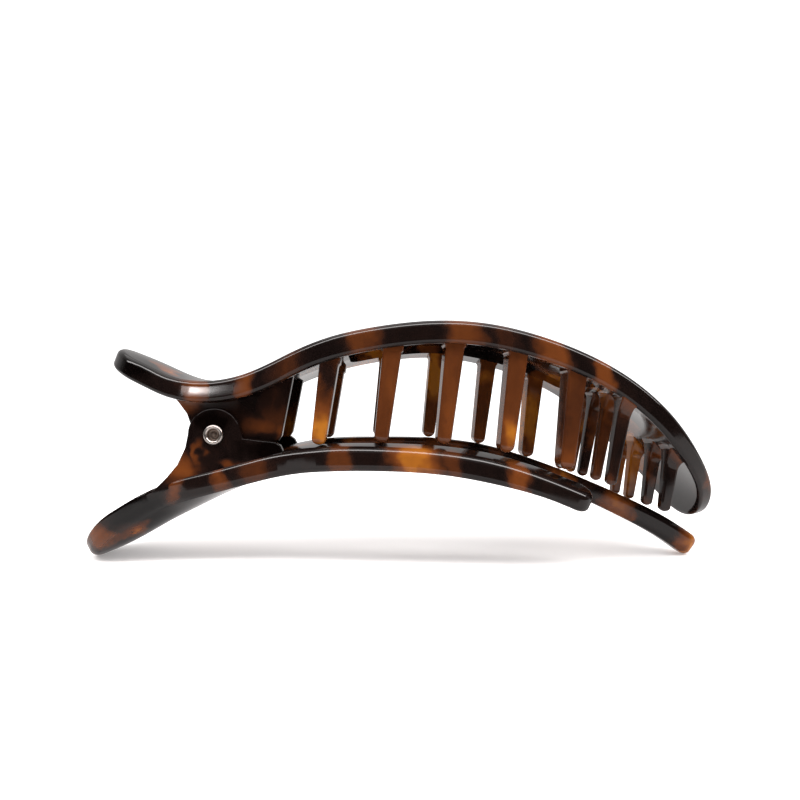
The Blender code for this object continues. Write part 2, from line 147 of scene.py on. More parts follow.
def new_tree(name, sockets):
    """A Geometry Nodes tree with a geometry input and output and the named inputs."""
    tree = bpy.data.node_groups.new(name, "GeometryNodeTree")
    tree.interface.new_socket("Geometry", in_out="INPUT", socket_type="NodeSocketGeometry")
    tree.interface.new_socket("Geometry", in_out="OUTPUT", socket_type="NodeSocketGeometry")
    for socket, kind in sockets.items():
        tree.interface.new_socket(socket, in_out="INPUT", socket_type="NodeSocket" + kind)
    return tree, tree.nodes.new("NodeGroupInput").outputs


def named(tree, attribute, kind="FLOAT"):
    """Read a named attribute of a mesh in a tree."""
    return add(tree, "GeometryNodeInputNamedAttribute", {"Name": attribute}, data_type=kind).outputs[0]


def shown(sockets, name):
    """The socket of a name that is in use, where a node has one for each data type."""
    return next(socket for socket in sockets if socket.name == name and socket.enabled)


def close_tree(tree, geometry, finish):
    """End a tree in real faces with a material."""
    real = add(tree, "GeometryNodeRealizeInstances", {"Geometry": geometry}).outputs[0]
    painted = add(tree, "GeometryNodeSetMaterial", {"Geometry": real, "Material": finish}).outputs[0]
    add(tree, "NodeGroupOutput", {"Geometry": painted})


def run_tree(item, tree, **values):
    """Run a tree with named inputs on an object, and keep the result as its plain mesh."""
    modifier = item.modifiers.new(tree.name, "NODES")
    modifier.node_group = tree
    for socket in tree.interface.items_tree:
        if socket.name in values:
            modifier[socket.identifier] = values[socket.name]
    keep_result(item)


def evaluated_mesh(item):
    """A plain mesh of an object or curve as it is drawn."""
    return bpy.data.meshes.new_from_object(item.evaluated_get(bpy.context.evaluated_depsgraph_get()))


def keep_result(item):
    """Replace an object's mesh by what its modifiers make of it."""
    mesh = evaluated_mesh(item)
    item.modifiers.clear()
    item.data = mesh


def new_object(name, mesh):
    """Put a mesh into the scene."""
    item = bpy.data.objects.new(name, mesh)
    bpy.context.scene.collection.objects.link(item)
    return item


print("helpers ready")

# %% [markdown]
# Tortoiseshell plastic is amber with clouds of dark brown in it, which melt into each other over two
# or three millimetres. One patch is a soft ellipsoid in the space of the object, so it goes right
# through the plastic as it does in the real sheet. Noise bends its edge. The group is built once and
# placed for every patch.

# %% Soft patch group
def new_shader_group(name, inputs, outputs):
    """A shader node group with named inputs and outputs."""
    group = bpy.data.node_groups.new(name, "ShaderNodeTree")
    for socket, kind, value in inputs:
        made = group.interface.new_socket(socket, in_out="INPUT", socket_type="NodeSocket" + kind)
        if value is not None:
            made.default_value = value
    for socket, kind in outputs:
        group.interface.new_socket(socket, in_out="OUTPUT", socket_type="NodeSocket" + kind)
    return group, group.nodes.new("NodeGroupInput").outputs


PATCH_CORE, PATCH_EDGE = 0.30, 1.55


def make_soft_patch():
    """Group: 1 inside an ellipsoid, falling softly to 0 round it."""
    group, given = new_shader_group(
        "soft_patch",
        [("Position", "Vector", None), ("Centre", "Vector", None), ("Size", "Vector", (1, 1, 1)),
         ("Strength", "Float", 1.0)],
        [("Mask", "Float")])
    offset = calc_vector(group, "SUBTRACT", given["Position"], given["Centre"])
    scaled = calc_vector(group, "DIVIDE", offset, given["Size"])
    distance = add(group, "ShaderNodeVectorMath", {0: scaled}, operation="LENGTH").outputs["Value"]
    fade = remap(group, distance, PATCH_EDGE, PATCH_CORE, 0.0, 1.0, "SMOOTHSTEP")
    add(group, "NodeGroupOutput", {"Mask": calc(group, "MULTIPLY", fade, given["Strength"])})
    return group


SOFT_PATCH = make_soft_patch()
print("group:", SOFT_PATCH.name)

# %% [markdown]
# The tortoiseshell group turns a mask into colour: near black, brown, amber and a bright orange, which
# is amber lightened as painted glow where light shines through thin plastic. Away from the placed
# patches it adds clouds of its own from noise, so the far side and the top have the same pattern.
# Streaks follow the way that the plastic flowed.

# %% Tortoiseshell group
SHELL_COLOURS = (
    # mask, red, green, blue
    (0.00, 0.0012, 0.0006, 0.0005),
    (0.08, 0.0052, 0.0030, 0.0026),
    (0.22, 0.0130, 0.0055, 0.0038),
    (0.45, 0.0600, 0.0170, 0.0052),
    (0.70, 0.1050, 0.0290, 0.0070),
    (0.88, 0.2000, 0.0620, 0.0085),
    # Bright orange: amber lightened as painted glow of light through thin plastic.
    (1.00, 0.2900, 0.1000, 0.0110),
)
CLOUD_NOISE = {"Scale": 95.0, "Detail": 2.0, "Roughness": 0.45, "Distortion": 0.5}
CLOUDS_FROM, CLOUDS_FULL = 0.47, 0.70
STREAK_SCALE = (400, 400, 90)
WIPE_SCALE = 260.0
WIPE_FROM, WIPE_FULL = 0.35, 0.75
SMOOTHEST, ROUGHEST = 0.07, 0.16


def make_tortoiseshell():
    """Group: a mask of patches to the plastic's colour and roughness."""
    group, given = new_shader_group(
        "tortoiseshell",
        [("Position", "Vector", None), ("Patches", "Float", 0.0), ("Darks", "Float", 0.0),
         ("Clouds", "Float", 1.0), ("Ground", "Float", 0.0), ("Streaks", "Float", 0.1),
         ("Streak Size", "Vector", STREAK_SCALE)],
        [("Color", "Color"), ("Roughness", "Float")])
    clouds = add(group, "ShaderNodeTexNoise", {"Vector": given["Position"], **CLOUD_NOISE}).outputs["Fac"]
    clouds = remap(group, clouds, CLOUDS_FROM, CLOUDS_FULL, 0.0, 1.0, "SMOOTHSTEP")
    mask = calc(group, "MAXIMUM", calc(group, "MULTIPLY", clouds, given["Clouds"]), given["Patches"])
    mask = calc(group, "ADD", mask, given["Ground"])
    flow = noise(group, calc_vector(group, "MULTIPLY", given["Position"], given["Streak Size"]), 1.0, 3.0)
    flow = calc(group, "MULTIPLY", calc(group, "SUBTRACT", flow, NOISE_MEAN), given["Streaks"])
    mask = calc(group, "SUBTRACT", calc(group, "ADD", mask, flow), given["Darks"], clamp=True)
    ramp = add(group, "ShaderNodeValToRGB", {"Fac": mask})
    stops = ramp.color_ramp.elements
    while len(stops) < len(SHELL_COLOURS):
        stops.new(0.5)
    for stop, (place, *colour) in zip(stops, SHELL_COLOURS):
        stop.position = place
        stop.color = (*colour, 1.0)
    wipe = noise(group, given["Position"], WIPE_SCALE, 4.0)
    rough = remap(group, wipe, WIPE_FROM, WIPE_FULL, SMOOTHEST, ROUGHEST)
    add(group, "NodeGroupOutput", {"Color": ramp.outputs["Color"], "Roughness": rough})
    return group


TORTOISESHELL = make_tortoiseshell()
print("group:", TORTOISESHELL.name, "with", len(SHELL_COLOURS), "colours")

# %% [markdown]
# A shell material reads the object's own coordinates, bends them a little with noise, lays the
# patches over each other, and feeds the group. The polish of a moulded surface is never quite flat,
# so a very low, broad bump makes the reflections wander.

# %% Shell material
WARP_SCALE = 240.0
WARP = (6.0 * MM, 2.4 * MM, 3.0 * MM)
CLOUDS_START_Y, CLOUDS_FULL_Y = -10.5 * MM, -7.5 * MM
RIPPLE_SCALE = 70.0
RIPPLE_STRENGTH, RIPPLE_HEIGHT = 0.12, 0.4 * MM
PLASTIC_IOR = 1.49
POLISHED, MATT = 0.37, 0.14


def lay_patches(tree, place, rows):
    """The strongest of many soft patches: x, y, z, half length, half depth, half height, strength."""
    mask = None
    for x, y, z, length, depth, height, strength in rows:
        patch = add(tree, "ShaderNodeGroup", {
            "Position": place, "Centre": (x * MM, y * MM, z * MM),
            "Size": (length * MM, depth * MM, height * MM), "Strength": strength}, node_tree=SOFT_PATCH)
        mask = patch.outputs[0] if mask is None else calc(tree, "MAXIMUM", mask, patch.outputs[0])
    return mask


def make_shell(name, patches, darks, clouds, ground, streaks, shine=POLISHED):
    """Tortoiseshell with placed patches of amber, and darks where the plastic stays black."""
    material, tree, shader, place = new_material(name)
    warp = noise(tree, place, WARP_SCALE, 2.0, "Color")
    warp = calc_vector(tree, "SUBTRACT", warp, (NOISE_MEAN,) * 3)
    warped = calc_vector(tree, "ADD", place, calc_vector(tree, "MULTIPLY", warp, WARP))
    clouds = remap(tree, split(tree, place)["Y"], CLOUDS_START_Y, CLOUDS_FULL_Y, 0.0, clouds)
    shell = add(tree, "ShaderNodeGroup", {
        "Position": warped, "Patches": lay_patches(tree, warped, patches),
        "Darks": lay_patches(tree, warped, darks), "Clouds": clouds, "Ground": ground,
        "Streaks": streaks}, node_tree=TORTOISESHELL).outputs
    ripple = noise(tree, place, RIPPLE_SCALE, 1.0)
    bump = add(tree, "ShaderNodeBump",
               {"Height": ripple, "Strength": RIPPLE_STRENGTH, "Distance": RIPPLE_HEIGHT}).outputs[0]
    fill(shader, {"Base Color": shell["Color"], "Roughness": shell["Roughness"], "Normal": bump,
                  "IOR": PLASTIC_IOR, "Specular IOR Level": shine})
    return material


print("shell material ready")

# %% [markdown]
# Seen from the side, each jaw is a plate that follows one smooth line. The tables give points of that
# line, how far the middle of the plate stands above its edges, and how thick it is. A natural cubic
# spline goes through the points, as a thin strip of wood bent round pins would.

# %% Side profiles
UPPER_PROFILE = (
    # x, z, crown, depth
    (-56.4, 41.9, 1.0, 3.8), (-49.0, 38.9, 1.0, 3.9), (-42.0, 36.0, 0.9, 4.0), (-35.4, 35.4, 0.5, 4.1),
    (-28.6, 36.8, 0.3, 4.2), (-20.4, 40.4, 0.6, 4.2), (-12.0, 43.3, 1.0, 4.2), (-2.0, 45.3, 1.2, 4.2),
    (7.2, 46.1, 1.3, 4.2), (16.8, 45.5, 1.3, 4.2), (26.3, 43.2, 1.3, 4.1), (35.0, 39.8, 1.3, 4.0),
    (43.3, 34.9, 1.3, 3.8), (50.6, 28.1, 1.3, 3.5), (56.1, 20.7, 1.3, 3.1), (59.7, 14.6, 1.2, 2.8),
    (61.7, 8.4, 1.0, 2.6),
)
LOWER_PROFILE = (
    # x, z, crown, depth
    (-64.4, 5.6, -3.3, 3.5), (-56.8, 9.7, -4.0, 3.6), (-49.9, 13.9, -4.2, 3.7), (-42.0, 17.1, -3.1, 4.2),
    (-34.0, 19.0, -1.3, 4.3), (-26.0, 21.0, 0.2, 4.5), (-15.5, 22.9, 0.8, 4.6), (-3.0, 23.1, 1.2, 4.5),
    (9.4, 22.1, 1.9, 4.4), (19.8, 20.0, 2.4, 4.3), (28.8, 16.9, 2.7, 3.8), (38.0, 13.0, 3.0, 3.9),
    (47.5, 8.8, 3.0, 4.2), (55.5, 4.7, 3.0, 4.4), (61.5, 0.67, 3.0, 4.5),
)
PROFILE_STEP = 0.25
HALF_WIDTH = 16.0
WAIST_HALF_WIDTH = 12.0
LEVER_HALF_WIDTH = 10.5
WAIST_FROM_X, WAIST_TO_X = -48.0, -40.0
WIDEN_FROM_X, WIDEN_TO_X = -25.0, -10.0


def spline_through(rows, step):
    """Read a natural cubic spline through the rows about every step of length."""
    values = np.array(rows, dtype=float)
    spans = np.hypot(np.diff(values[:, 0]), np.diff(values[:, 1]))
    knots = np.concatenate(([0.0], np.cumsum(spans)))
    count = len(knots)
    matrix = np.eye(count)
    target = np.zeros_like(values)
    for i in range(1, count - 1):
        before, after = spans[i - 1], spans[i]
        matrix[i, i - 1:i + 2] = (before, 2 * (before + after), after)
        target[i] = 6 * ((values[i + 1] - values[i]) / after - (values[i] - values[i - 1]) / before)
    bend = np.linalg.solve(matrix, target)
    points = []
    for place in np.linspace(0.0, knots[-1], int(knots[-1] / step) + 1):
        i = min(int(np.searchsorted(knots, place, side="right")) - 1, count - 2)
        left, right = place - knots[i], knots[i + 1] - place
        line = (values[i] * right + values[i + 1] * left) / spans[i]
        sag = (bend[i] * (right ** 3 / spans[i] - right * spans[i])
               + bend[i + 1] * (left ** 3 / spans[i] - left * spans[i])) / 6
        points.append(line + sag)
    return np.array(points)


def smooth_step(value, start, end):
    """Rise from 0 at start to 1 at end, level at both."""
    t = min(max((value - start) / (end - start), 0.0), 1.0)
    return t * t * (3 - 2 * t)


def half_width(x):
    """Half the width of a plate at x: the lever, the waist at the hinge, then the wide body."""
    narrow = (WAIST_HALF_WIDTH - LEVER_HALF_WIDTH) * smooth_step(x, WAIST_FROM_X, WAIST_TO_X)
    wide = (HALF_WIDTH - WAIST_HALF_WIDTH) * smooth_step(x, WIDEN_FROM_X, WIDEN_TO_X)
    return LEVER_HALF_WIDTH + narrow + wide


class Profile:
    """A plate's side view, read by the length along it."""

    def __init__(self, name, rows):
        points = spline_through(rows, PROFILE_STEP)
        self.x, self.z, self.crown, self.depth = points.T
        self.reach = np.concatenate(([0.0], np.cumsum(np.hypot(np.diff(self.x), np.diff(self.z)))))
        self.length = float(self.reach[-1])
        mesh = bpy.data.meshes.new(name)
        mesh.from_pydata([(x * MM, 0, z * MM) for x, z in zip(self.x, self.z)],
                         [(i, i + 1) for i in range(len(self.x) - 1)], [])
        section = mesh.attributes.new("section", "FLOAT_VECTOR", "POINT")
        for i, x in enumerate(self.x):
            section.data[i].vector = (self.crown[i] * MM, self.depth[i] / BLANK_DEPTH, half_width(x) * MM)
        self.line = new_object(name, mesh)

    def along(self, x):
        """Length along the plate at which the profile passes x."""
        return float(np.interp(x, self.x, self.reach))

    def x_at(self, s):
        """The profile's x at the length s."""
        return float(np.interp(s, self.reach, self.x))

    def edge_at(self, x):
        """Height of the profile's edge at x, and how far the plate's middle stands above it."""
        return float(np.interp(x, self.x, self.z)), float(np.interp(x, self.x, self.crown))

    def out_at(self, x):
        """Direction out of the plate's upper face at x."""
        i = int(np.searchsorted(self.x, x))
        along_x, along_z = self.x[i] - self.x[i - 1], self.z[i] - self.z[i - 1]
        step = hypot(along_x, along_z)
        return -along_z / step, along_x / step


BLANK_DEPTH = 4.2
upper_profile = Profile("upper_profile", UPPER_PROFILE)
lower_profile = Profile("lower_profile", LOWER_PROFILE)
print("upper jaw is", round(upper_profile.length, 1), "mm long along its curve, the lower",
      round(lower_profile.length, 1))

# %% [markdown]
# Both jaws are drawn flat first, like a cut sheet, and bent afterwards. Flat, the outline is easy to
# draw and its rims are easy to round. The outline of the upper jaw ends in half an ellipse, and the
# lower jaw splits into two side prongs and a longer middle one. One half is drawn and then mirrored.

# %% Flat outlines
NOSE_POINTS = 22
SIDE_STEP = 2.0
TIP_POINTS = 40
UPPER_LEVER_NOSE = 9.0
UPPER_TIP_NOSE = 27.0
LOWER_LEVER_NOSE = 11.0
SIDE_PRONG_INNER_Y = 10.0
SIDE_PRONG_END_X = 36.2
CENTRE_PRONG_HALF_WIDTH = 2.5
PRONG_SLOT_X = -15.0
ROUND_POINTS = 16


def side_line(profile, nose, end):
    """Edge of a blank on its +Y side, from the middle of its lever's nose to the length end."""
    points = []
    for i in range(NOSE_POINTS, -1, -1):
        angle = pi / 2 * i / NOSE_POINTS
        s = nose * (1 - sin(angle))
        points.append((s, half_width(profile.x_at(s)) * cos(angle)))
    count = round((end - nose) / SIDE_STEP)
    lengths = [nose + (end - nose) * i / count for i in range(1, count + 1)]
    return points + [(s, half_width(profile.x_at(s))) for s in lengths]


def arc(centre, radius, start, end, count=ROUND_POINTS):
    """Points of an arc, angles in degrees."""
    angles = [radians(start + (end - start) * i / count) for i in range(count + 1)]
    return [(centre[0] + radius * cos(a), centre[1] + radius * sin(a)) for a in angles]


def mirrored(side):
    """Close an outline with its other half, without a second copy of a point on the middle line."""
    return side + [(s, -y) for s, y in reversed(side) if y > MM]


def upper_outline():
    """Blank of the upper jaw."""
    tip_from = upper_profile.length - UPPER_TIP_NOSE
    side = side_line(upper_profile, UPPER_LEVER_NOSE, tip_from)
    for i in range(1, TIP_POINTS + 1):
        angle = pi / 2 * i / TIP_POINTS
        side.append((tip_from + UPPER_TIP_NOSE * sin(angle), HALF_WIDTH * cos(angle)))
    return mirrored(side)


def lower_outline():
    """Blank of the lower jaw with its three prongs."""
    prong_radius = (HALF_WIDTH - SIDE_PRONG_INNER_Y) / 2
    slot_radius = (SIDE_PRONG_INNER_Y - CENTRE_PRONG_HALF_WIDTH) / 2
    prong_end = lower_profile.along(SIDE_PRONG_END_X) - prong_radius
    slot_end = lower_profile.along(PRONG_SLOT_X) + slot_radius
    centre_end = lower_profile.length - CENTRE_PRONG_HALF_WIDTH
    side = side_line(lower_profile, LOWER_LEVER_NOSE, prong_end)
    side += arc((prong_end, HALF_WIDTH - prong_radius), prong_radius, 90, -90)[1:]
    side += arc((slot_end, CENTRE_PRONG_HALF_WIDTH + slot_radius), slot_radius, 90, 270)
    side += arc((centre_end, 0), CENTRE_PRONG_HALF_WIDTH, 90, 0)
    return mirrored(side)


print("outlines:", len(upper_outline()), "and", len(lower_outline()), "points")

# %% [markdown]
# A filled and extruded 2D curve gives the flat plate. The edges where a face meets the side wall are
# bevelled round, with enough segments for a clean line of light. Then the plate is cut into strips,
# because a face can only bend where it has an edge.

# %% Plates from outlines
UPPER_EDGE_RADIUS = 1.1
LOWER_EDGE_RADIUS = 1.35
EDGE_SEGMENTS = 7
BEND_STEP = 1.1
CROWN_STEP = 2.0
SAME_POINT = 1e-4
ON_THE_CUT = 0.01
STRAIGHT = radians(0.1)
FACE_UP = 0.9


def flat_plate(outline, bottom, top, radius=0.0, segments=0):
    """A closed flat plate from an outline, its rims rounded. Lengths are in millimetres."""
    curve = bpy.data.curves.new("outline", "CURVE")
    curve.dimensions = "2D"
    curve.fill_mode = "BOTH"
    curve.extrude = (top - bottom) / 2
    spline = curve.splines.new("POLY")
    spline.points.add(len(outline) - 1)
    for point, place in zip(spline.points, outline):
        point.co = (*place, 0.0, 1.0)
    spline.use_cyclic_u = True
    holder = new_object("outline", curve)
    mesh = evaluated_mesh(holder)
    bpy.data.objects.remove(holder)
    plate = bmesh.new()
    plate.from_mesh(mesh)
    bmesh.ops.remove_doubles(plate, verts=plate.verts, dist=SAME_POINT)
    bmesh.ops.translate(plate, verts=plate.verts, vec=(0, 0, (top + bottom) / 2))
    bmesh.ops.dissolve_limit(plate, angle_limit=STRAIGHT, verts=plate.verts, edges=plate.edges)
    bmesh.ops.recalc_face_normals(plate, faces=plate.faces)
    if radius:
        rims = [edge for edge in plate.edges
                if sum(abs(face.normal.z) > FACE_UP for face in edge.link_faces) == 1]
        bmesh.ops.bevel(plate, geom=rims, offset=radius, segments=segments, profile=0.5, affect="EDGES")
    return plate


def cut_strips(plate, places, axis):
    """Cut a plate's faces along straight lines across an axis."""
    for place in places:
        everything = plate.verts[:] + plate.edges[:] + plate.faces[:]
        bmesh.ops.bisect_plane(plate, geom=everything, dist=ON_THE_CUT, plane_co=axis * place, plane_no=axis)


def finish_mesh(name, plate):
    """Turn a solid drawn in millimetres into an object in metres."""
    bmesh.ops.scale(plate, verts=plate.verts, vec=(MM, MM, MM))
    mesh = bpy.data.meshes.new(name)
    plate.to_mesh(mesh)
    plate.free()
    return new_object(name, mesh)


print("plates ready")

# %% [markdown]
# Bending is a job for Geometry Nodes: the profile becomes a curve, and Sample Curve finds, for each
# point of the flat plate, the place and direction on it at that length. The point then moves out
# along the curve's normal by its height in the plate, plus the crown of the plate at that width.

# %% Tree that bends a plate along its profile
def make_bend_tree():
    """Geometry Nodes: carry a flat plate (length, distance from the middle, height) to its profile."""
    tree, given = new_tree("bend_to_profile", {"Profile": "Object", "Finish": "Material"})
    line = add(tree, "GeometryNodeObjectInfo", {"Object": given["Profile"]}).outputs["Geometry"]
    curve = add(tree, "GeometryNodeMeshToCurve", {"Mesh": line}).outputs[0]
    flat = split(tree, add(tree, "GeometryNodeInputPosition").outputs[0])
    section = named(tree, "section", "FLOAT_VECTOR")
    sample = add(tree, "GeometryNodeSampleCurve", {"Curves": curve, "Length": flat["X"]},
                 data_type="FLOAT_VECTOR", mode="LENGTH")
    tree.links.new(section, shown(sample.inputs, "Value"))
    read = split(tree, shown(sample.outputs, "Value"))
    crown, depth, width = read["X"], read["Y"], read["Z"]
    share = calc(tree, "DIVIDE", flat["Y"], width)
    bulge = calc(tree, "SUBTRACT", 1.0, calc(tree, "MULTIPLY", share, share))
    height = calc(tree, "MULTIPLY_ADD", crown, bulge, calc(tree, "MULTIPLY", flat["Z"], depth))
    along = split(tree, sample.outputs["Tangent"])
    back = calc(tree, "MULTIPLY", along["Z"], -1.0)
    normal = add(tree, "ShaderNodeCombineXYZ", {"X": back, "Z": along["X"]}).outputs[0]
    raised = add(tree, "ShaderNodeVectorMath", {0: normal, "Scale": height}, operation="SCALE").outputs[0]
    across = add(tree, "ShaderNodeCombineXYZ", {"Y": flat["Y"]}).outputs[0]
    place = calc_vector(tree, "ADD", calc_vector(tree, "ADD", sample.outputs["Position"], raised), across)
    bent = add(tree, "GeometryNodeSetPosition", {"Geometry": given["Geometry"], "Position": place}).outputs[0]
    close_tree(tree, bent, given["Finish"])
    return tree


BEND_TREE = make_bend_tree()
AXIS_X, AXIS_Y = Vector((1, 0, 0)), Vector((0, 1, 0))


def bent_plate(name, plate, profile, finish):
    """Cut a flat plate into strips and bend it to its profile."""
    count = round(profile.length / BEND_STEP)
    cut_strips(plate, [profile.length * i / count for i in range(1, count)], AXIS_X)
    lines = np.arange(CROWN_STEP / 2, HALF_WIDTH - LOWER_EDGE_RADIUS, CROWN_STEP)
    cut_strips(plate, [side * float(line) for line in lines for side in (-1, 1)], AXIS_Y)
    item = finish_mesh(name, plate)
    run_tree(item, BEND_TREE, Profile=profile.line, Finish=finish)
    return item


print("tree:", BEND_TREE.name, "with", len(BEND_TREE.nodes), "nodes")

# %% [markdown]
# A tooth is a tapered peg with rounded corners and a rounded end. It is lofted: rings of the same
# number of points at several heights, skinned with four-sided faces. Just under the plate the rings
# widen along the jaw, as the fillet does that every moulded tooth has at its root. The thin teeth of
# the rows across the jaw also spread towards their neighbours there.

# %% One tooth
CORNER_POINTS = 4
FILLET_RINGS, WEB_RINGS, BODY_RINGS, TIP_RINGS = 5, 6, 6, 6
BLUNT = 0.35
TIP_CORNER = 0.9
FILLET = 0.3
WEB_LENGTH = 3.0
TOOTH_SINK = 1.6


def rounded_ring(half_x, half_y, corner, z):
    """Points of a rounded rectangle at the height z."""
    ring = []
    for turn, (side_x, side_y) in enumerate(((1, 1), (-1, 1), (-1, -1), (1, -1))):
        for i in range(CORNER_POINTS + 1):
            angle = pi / 2 * (turn + i / CORNER_POINTS)
            ring.append((side_x * (half_x - corner) + corner * cos(angle),
                         side_y * (half_y - corner) + corner * sin(angle), z))
    return ring


def loft(rings):
    """Skin the rings, from top to bottom, into a closed solid."""
    solid = bmesh.new()
    rows = [[solid.verts.new(point) for point in ring] for ring in rings]
    for upper, lower in zip(rows, rows[1:]):
        for i in range(len(upper)):
            j = (i + 1) % len(upper)
            solid.faces.new((upper[j], upper[i], lower[i], lower[j]))
    solid.faces.new(rows[0])
    solid.faces.new(rows[-1][::-1])
    bmesh.ops.recalc_face_normals(solid, faces=solid.faces)
    return solid


def make_tooth(name, length, root, tip, corner, web=0.0, slant=0.0):
    """A tooth along -Z, its root at nought on a plate that falls by slant towards +X."""
    def size(depth):
        t = max(depth, 0.0) / length
        spread = FILLET * max(0.0, 1 - max(depth, 0.0) / (2 * FILLET)) ** 2
        webbed = web * max(0.0, 1 - max(depth, 0.0) / WEB_LENGTH) ** 2
        return (root[0] * (1 - t) + tip[0] * t) / 2 + spread, (root[1] * (1 - t) + tip[1] * t) / 2 + webbed

    def slanted(ring, depth):
        share = slant * min(1.0, max(0.0, 1 - (depth - 2 * FILLET) / WEB_LENGTH))
        return [(x, y, z - share * x) for x, y, z in ring]

    end = min(tip) / 2
    depths = [-TOOTH_SINK] + [2 * FILLET * i / FILLET_RINGS for i in range(FILLET_RINGS + 1)]
    if web:
        depths += [WEB_LENGTH * i / WEB_RINGS for i in range(2, WEB_RINGS + 1)]
    depths += [depths[-1] + (length - end - depths[-1]) * i / BODY_RINGS for i in range(1, BODY_RINGS + 1)]
    rings = [slanted(rounded_ring(*size(depth), corner, -depth), depth) for depth in depths]
    end_x, end_y = size(length - end)
    for i in range(1, TIP_RINGS + 1):
        angle = pi / 2 * i / (TIP_RINGS + BLUNT)
        half_x, half_y = (half - end * (1 - cos(angle)) for half in (end_x, end_y))
        depth = length - end * (1 - sin(angle))
        rings.append(rounded_ring(half_x, half_y, min(corner, TIP_CORNER * half_x), -depth))
    return finish_mesh(name, loft(rings))


side_tooth = make_tooth("side_tooth", 16.5, root=(3.5, 4.8), tip=(2.6, 4.2), corner=0.45)
row_tooth = make_tooth("row_tooth", 15.1, root=(2.5, 2.4), tip=(1.8, 1.8), corner=0.4, web=1.1, slant=0.5)
end_tooth = make_tooth("end_tooth", 11.8, root=(2.5, 2.4), tip=(1.8, 1.8), corner=0.4, web=1.1, slant=1.0)
print("one side tooth has", len(side_tooth.data.polygons), "faces")

# %% [markdown]
# The teeth stand in rows: five along each side, and two rows across the front. A row is a mesh of
# bare points, one at each root, which carry how far the tooth leans and how long it is. Instance on
# Points puts a tooth on each, so that moving a tooth is a matter of moving a point.

# %% Rows of teeth
SIDE_TEETH = (
    # root x, root z, tip x, tip z, y
    (-12.5, 38.8, -14.6, 23.5, 12.0),
    (-0.9, 41.0, -3.0, 23.85, 12.6),
    (10.6, 41.8, 8.5, 23.6, 12.6),
    (22.2, 40.4, 20.0, 22.1, 12.6),
    (33.0, 37.0, 31.1, 19.0, 12.6),
)
# root x, root z, tip x, tip z, y of every tooth
ROW_TEETH = (42.15, 32.4, 39.3, 16.1, (-13.4, -6.7, 0.0, 6.7, 13.4))
END_TEETH = (52.4, 22.4, 50.8, 10.7, (-10.4, -3.8, 3.8, 10.4))


def make_row_tree():
    """Geometry Nodes: a tooth on every point, leaned and stretched by the point's own values."""
    tree, given = new_tree("tooth_on_points", {"Tooth": "Object", "Finish": "Material"})
    tooth = add(tree, "GeometryNodeObjectInfo", {"Object": given["Tooth"]}).outputs["Geometry"]
    angles = add(tree, "ShaderNodeCombineXYZ", {"Y": named(tree, "lean")}).outputs[0]
    turn = add(tree, "FunctionNodeEulerToRotation", {0: angles}).outputs[0]
    stretch = add(tree, "ShaderNodeCombineXYZ", {"X": 1.0, "Y": 1.0, "Z": named(tree, "reach")}).outputs[0]
    placed = add(tree, "GeometryNodeInstanceOnPoints", {
        "Points": given["Geometry"], "Instance": tooth, "Rotation": turn, "Scale": stretch}).outputs[0]
    close_tree(tree, placed, given["Finish"])
    return tree


ROW_TREE = make_row_tree()


def tooth_row(name, tooth, rows, finish):
    """Teeth from rows of root x, root z, tip x, tip z and y."""
    length = -min(vertex.co.z for vertex in tooth.data.vertices)
    mesh = bpy.data.meshes.new(name)
    mesh.from_pydata([(x * MM, y * MM, z * MM) for x, z, _, _, y in rows], [], [])
    lean = mesh.attributes.new("lean", "FLOAT", "POINT")
    reach = mesh.attributes.new("reach", "FLOAT", "POINT")
    for i, (root_x, root_z, tip_x, tip_z, _) in enumerate(rows):
        lean.data[i].value = atan2(root_x - tip_x, root_z - tip_z)
        reach.data[i].value = hypot(root_x - tip_x, root_z - tip_z) * MM / length
    item = new_object(name, mesh)
    run_tree(item, ROW_TREE, Tooth=tooth, Finish=finish)
    return item


print("rows:", 2 * len(SIDE_TEETH), "side teeth,", len(ROW_TEETH[4]), "and", len(END_TEETH[4]), "across")

# %% [markdown]
# The hinge plates hang under the upper jaw and run between the ears of the lower jaw. Both are flat
# cheeks with a round end about the rivet. They are drawn in the side view, given rounded rims, and
# stood up on both sides of the middle.

# %% Hinge plates and ears
PIVOT = (-34.4, 25.3)
PLATE_INNER_Y, PLATE_OUTER_Y = 7.0, 9.1
PLATE_END_RADIUS = 5.2
EAR_INNER_Y, EAR_OUTER_Y = 9.4, 11.4
EAR_END_RADIUS = 5.0
CHEEK_EDGE, CHEEK_EDGE_SEGMENTS = 0.35, 3
BORE_RADIUS = 1.6
BORE_SIDES = 48
JAW_SHARP, METAL_SHARP = 32, 50


def plate_outline():
    """Side view of a hinge plate, its top buried in the jaw."""
    outline = arc(PIVOT, PLATE_END_RADIUS, 165, 290)
    outline += [(-24.6, 23.7), (-22.6, 24.0), (-22.0, 25.0), (-19.6, 37.4), (-30.6, 34.6), (-36.4, 33.4)]
    return outline + [(-44.6, 36.0), (-43.4, 33.2), (-41.7, 31.1), (-40.3, 29.2)]


def ear_outline():
    """Side view of an ear with its low fin, its foot buried in the jaw."""
    outline = [(-46.4, 14.2), (-43.4, 17.2), (-41.4, 19.6), (-39.9, 22.8)]
    outline += arc(PIVOT, EAR_END_RADIUS, 180, 20)
    outline += [(-29.0, 24.6), (-26.5, 24.3), (-22.8, 23.9), (-21.9, 23.2), (-21.0, 21.2)]
    return outline + [(-24.0, 19.4), (-34.0, 16.4)]


